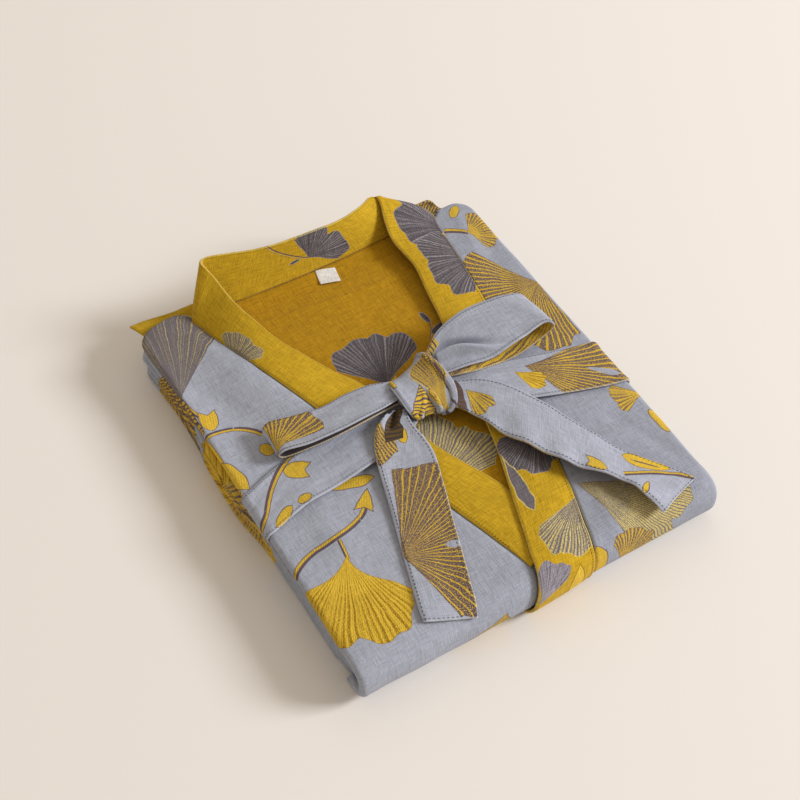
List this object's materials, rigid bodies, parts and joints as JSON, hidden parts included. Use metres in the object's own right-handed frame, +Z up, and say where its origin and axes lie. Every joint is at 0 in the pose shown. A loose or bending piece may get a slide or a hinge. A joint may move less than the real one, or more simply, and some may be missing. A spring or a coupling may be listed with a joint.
{
  "type": "folded kimono robe",
  "caption": "Kimono robe folded flat, with a standing neck band and its own sash tied round it in a bow.",
  "frame": {"origin": "middle of the whole part's bounding box, on the ground it lies on", "axes": "+Z up, +Y towards the neck, +X towards the viewer's right, which is the wearer's left front"},
  "size_m": [0.3189, 0.3864, 0.0791],
  "materials": {
    "folded_layers": "matte",
    "front_right": "matte",
    "front_left": "matte",
    "back_body": "matte",
    "collar": "matte",
    "sleeve_right": "matte",
    "sleeve_left": "matte",
    "sash_right": "matte",
    "sash_left": "matte",
    "sash_knot": "matte",
    "loop_right": "matte",
    "loop_left": "matte",
    "tail_right": "matte",
    "tail_left": "matte",
    "size_label": "matte"
  },
  "bodies": {
    "root": {"folded_layers": "folded_layers", "front_right": "front_right", "front_left": "front_left", "back_body": "back_body", "collar": "collar", "sleeve_right": "sleeve_right", "sleeve_left": "sleeve_left", "sash_right": "sash_right", "sash_left": "sash_left", "sash_knot": "sash_knot", "loop_right": "loop_right", "loop_left": "loop_left", "tail_right": "tail_right", "tail_left": "tail_left", "size_label": "size_label"}
  },
  "joints": []
}
